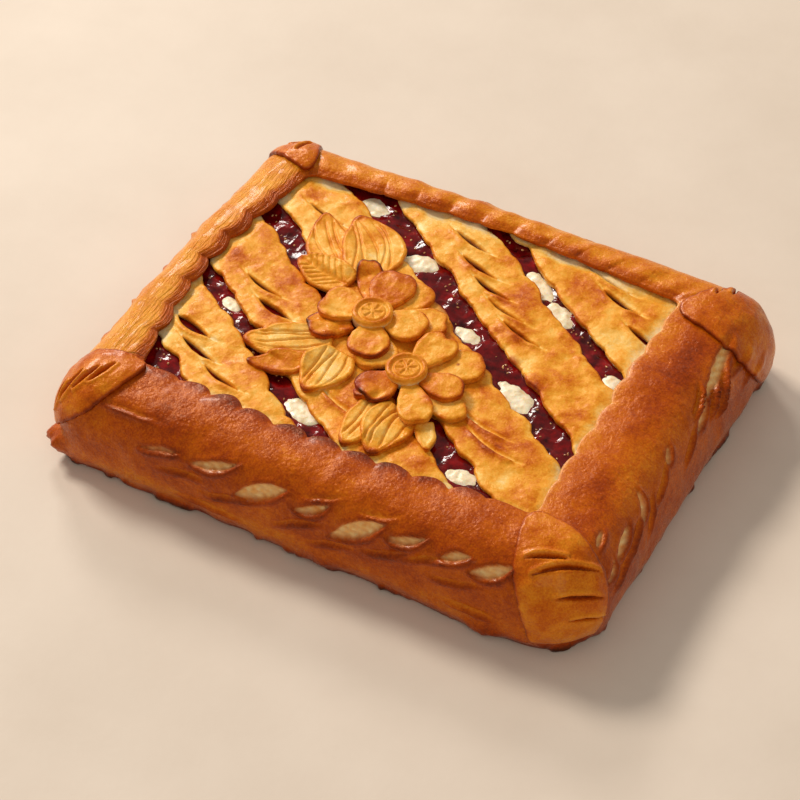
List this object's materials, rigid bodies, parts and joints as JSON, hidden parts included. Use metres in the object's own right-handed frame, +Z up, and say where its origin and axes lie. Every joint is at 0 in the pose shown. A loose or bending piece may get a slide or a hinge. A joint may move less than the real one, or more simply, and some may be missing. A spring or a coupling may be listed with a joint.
{
  "type": "cottage cheese strawberry pie",
  "caption": "Rectangular baked pie with a folded scalloped crust, slashed dough strips, leaves and flowers over cottage cheese and strawberry jam.",
  "frame": {"origin": "centre of the outline, on the table the pie rests on", "axes": "+X along the pie's long side, +Y across it towards the back, +Z up through the flowers"},
  "size_m": [0.256, 0.2061, 0.0467],
  "materials": {
    "crust": "glossy egg-washed baked dough, orange-brown",
    "strip_dough": "satin baked dough, golden yellow",
    "leaf_dough": "satin baked dough, golden yellow",
    "petal_dough": "satin baked dough, golden with browned rims",
    "cottage_cheese": "moist fine curd, off-white",
    "strawberry_jam": "wet glossy jam, deep maroon"
  },
  "bodies": {
    "root": {"corner_leaf_1": "crust", "corner_leaf_2": "crust", "corner_leaf_3": "crust", "corner_leaf_4": "crust", "cottage_cheese": "cottage_cheese", "crust_case": "crust", "dough_leaf_1": "leaf_dough", "dough_leaf_2": "leaf_dough", "dough_leaf_3": "leaf_dough", "dough_leaf_4": "leaf_dough", "dough_leaf_5": "leaf_dough", "dough_leaf_6": "leaf_dough", "dough_leaf_7": "leaf_dough", "dough_leaf_8": "leaf_dough", "dough_leaf_9": "leaf_dough", "dough_strip_1": "strip_dough", "dough_strip_2": "strip_dough", "dough_strip_3": "strip_dough", "dough_strip_4": "strip_dough", "dough_strip_5": "strip_dough", "flower_1_button": "petal_dough", "flower_1_lower_petal_1": "petal_dough", "flower_1_lower_petal_2": "petal_dough", "flower_1_lower_petal_3": "petal_dough", "flower_1_lower_petal_4": "petal_dough", "flower_1_lower_petal_5": "petal_dough", "flower_1_upper_petal_1": "petal_dough", "flower_1_upper_petal_2": "petal_dough", "flower_1_upper_petal_3": "petal_dough", "flower_1_upper_petal_4": "petal_dough", "flower_2_button": "petal_dough", "flower_2_lower_petal_1": "petal_dough", "flower_2_lower_petal_2": "petal_dough", "flower_2_lower_petal_3": "petal_dough", "flower_2_upper_petal_1": "petal_dough", "flower_2_upper_petal_2": "petal_dough", "flower_2_upper_petal_3": "petal_dough", "flower_2_upper_petal_4": "petal_dough", "strawberry_jam": "strawberry_jam"}
  },
  "joints": []
}
